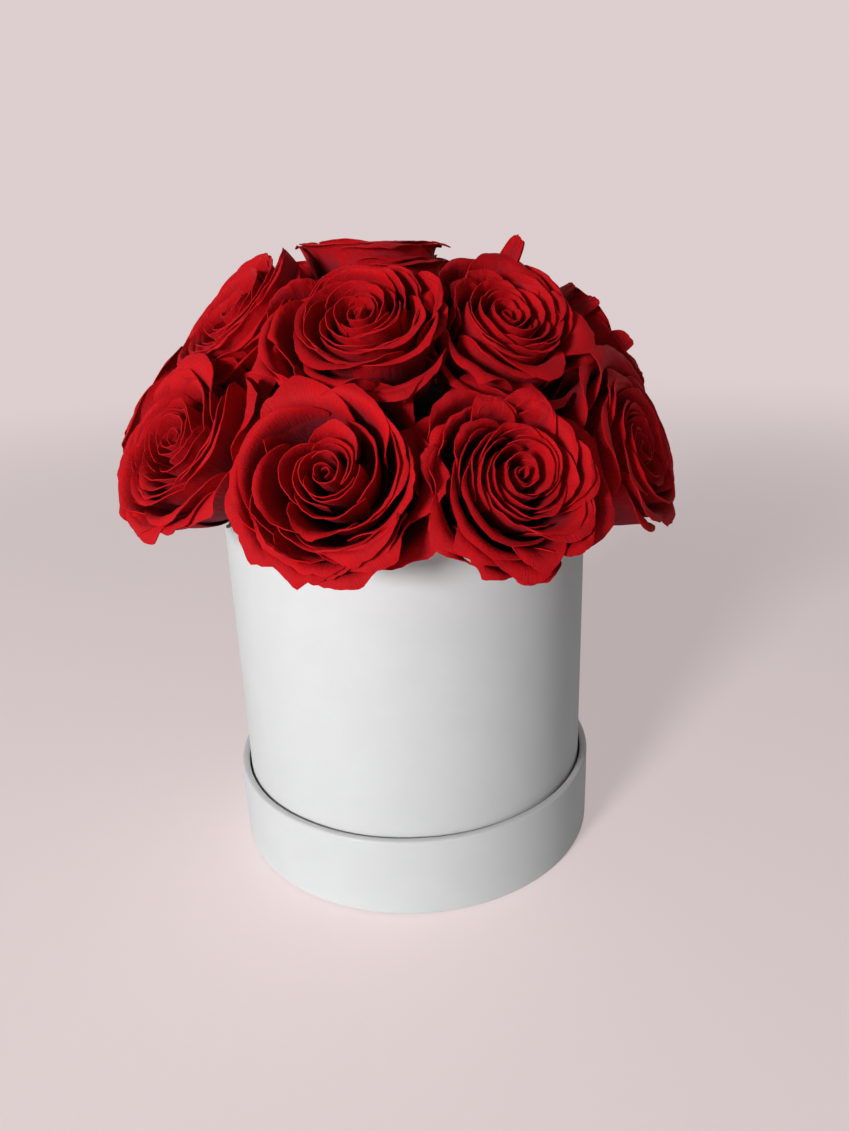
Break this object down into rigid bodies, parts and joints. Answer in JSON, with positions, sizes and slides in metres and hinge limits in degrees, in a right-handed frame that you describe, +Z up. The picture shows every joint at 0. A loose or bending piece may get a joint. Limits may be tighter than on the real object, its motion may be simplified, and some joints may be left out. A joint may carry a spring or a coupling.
{
  "type": "flower box",
  "caption": "Round white paper-covered hat box standing in its own lid, filled with a dome of preserved red roses on dry foam.",
  "frame": {"origin": "centre of the lid's flat underside, where the box stands", "axes": "+Z up along the round box's axis, -Y towards the viewer of the picture, +X to the viewer's right"},
  "size_m": [0.1934, 0.1913, 0.2196],
  "materials": {
    "white_paper": "smooth matt white cover paper",
    "grey_board": "raw grey board, hidden under the paper",
    "dry_foam": "fine-celled dry floral foam",
    "petal": "velvety preserved petal, deep red",
    "sepal": "dry grey-green sepal",
    "pick_wood": "plain sanded wood"
  },
  "bodies": {
    "lid": {"lid_panel_board": "grey_board", "lid_wall_board": "grey_board", "lid_wall_paper": "white_paper", "lid_panel_paper": "white_paper", "lid_lining_paper": "white_paper"},
    "box": {"box_tube_board": "grey_board", "box_base_board": "grey_board", "box_wall_paper": "white_paper", "box_base_paper": "white_paper", "box_lining_paper": "white_paper", "foam_block": "dry_foam", "rose_01_bloom": "petal", "rose_02_bloom": "petal", "rose_03_bloom": "petal", "rose_04_bloom": "petal", "rose_05_bloom": "petal", "rose_06_bloom": "petal", "rose_07_bloom": "petal", "rose_08_bloom": "petal", "rose_09_bloom": "petal", "rose_10_bloom": "petal", "rose_11_bloom": "petal", "rose_12_bloom": "petal", "rose_13_bloom": "petal", "rose_14_bloom": "petal", "rose_15_bloom": "petal", "rose_16_bloom": "petal", "rose_01_calyx": "sepal", "rose_02_calyx": "sepal", "rose_03_calyx": "sepal", "rose_04_calyx": "sepal", "rose_05_calyx": "sepal", "rose_06_calyx": "sepal", "rose_07_calyx": "sepal", "rose_08_calyx": "sepal", "rose_09_calyx": "sepal", "rose_10_calyx": "sepal", "rose_11_calyx": "sepal", "rose_12_calyx": "sepal", "rose_13_calyx": "sepal", "rose_14_calyx": "sepal", "rose_15_calyx": "sepal", "rose_16_calyx": "sepal", "rose_01_pick": "pick_wood", "rose_02_pick": "pick_wood", "rose_03_pick": "pick_wood", "rose_04_pick": "pick_wood", "rose_05_pick": "pick_wood", "rose_06_pick": "pick_wood", "rose_07_pick": "pick_wood", "rose_08_pick": "pick_wood", "rose_09_pick": "pick_wood", "rose_10_pick": "pick_wood", "rose_11_pick": "pick_wood", "rose_12_pick": "pick_wood", "rose_13_pick": "pick_wood", "rose_14_pick": "pick_wood", "rose_15_pick": "pick_wood", "rose_16_pick": "pick_wood"}
  },
  "joints": [
    {"name": "box_lift", "type": "slide", "parent": "lid", "child": "box", "axis": [0, 0, 1], "range_m": [0, 0.035]}
  ]
}
